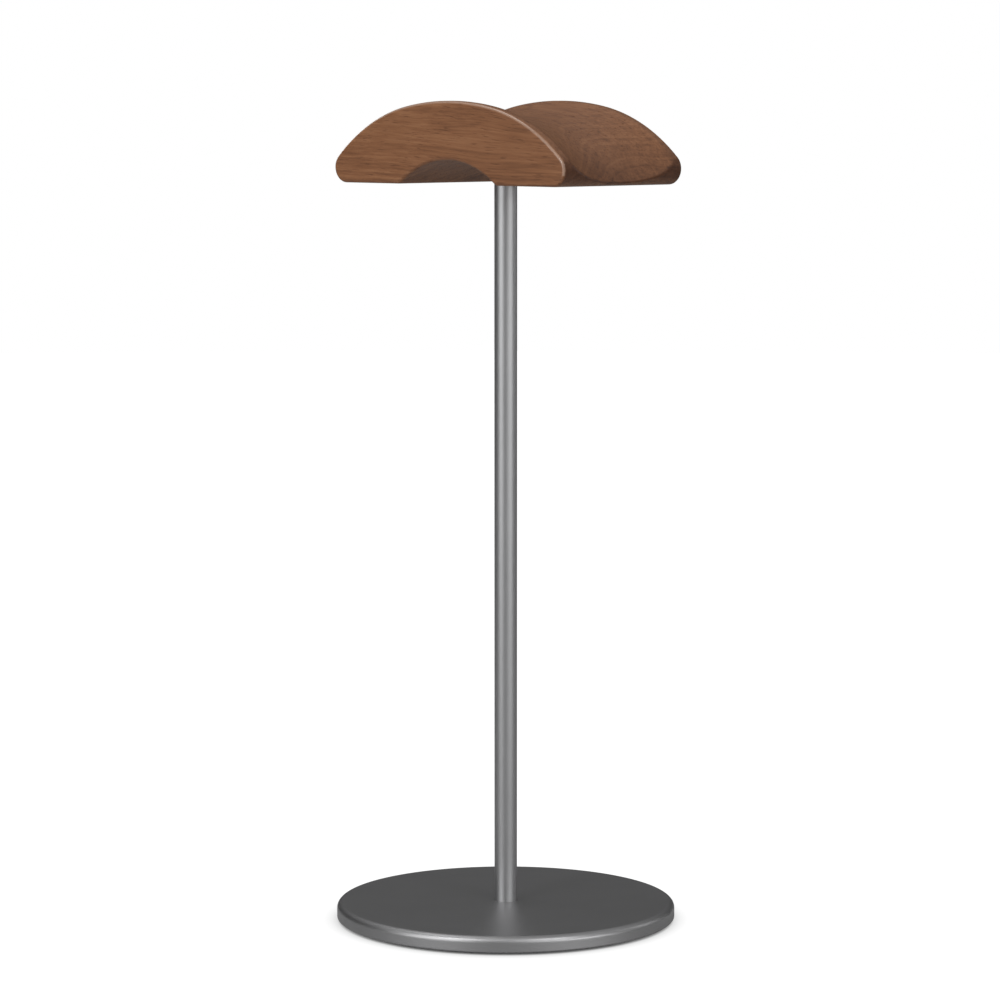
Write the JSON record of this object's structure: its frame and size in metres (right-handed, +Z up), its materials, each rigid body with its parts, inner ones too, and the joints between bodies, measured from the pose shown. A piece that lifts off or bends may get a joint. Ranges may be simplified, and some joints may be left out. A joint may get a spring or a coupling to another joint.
{
  "type": "headphone stand",
  "caption": "Free-standing headphone stand: an arched wooden saddle with a dished top and an arched tunnel beneath, on a slim round metal rod above a weighted round foot.",
  "frame": {"origin": "centre of the round footprint, on the surface the stand rests on", "axes": "+Z up along the rod; X across the saddle, the way the headband runs; +Y to the back"},
  "size_m": [0.12, 0.12, 0.2892],
  "materials": {
    "walnut": "oiled walnut, satin",
    "anodised_rod": "grey anodised, fine satin",
    "anodised_foot": "dark grey anodised, bead blasted",
    "steel": "zinc plated",
    "brass": "turned and knurled",
    "tape": "double-sided bonding tape",
    "pad": "matt black silicone"
  },
  "bodies": {
    "root": {"cradle": "walnut", "cradle_insert": "brass", "cradle_stud": "steel", "pole": "anodised_rod", "base_plate": "anodised_foot", "ballast_ring": "steel", "ballast_tape": "tape", "base_screw": "steel", "foot_pad": "pad"}
  },
  "joints": []
}
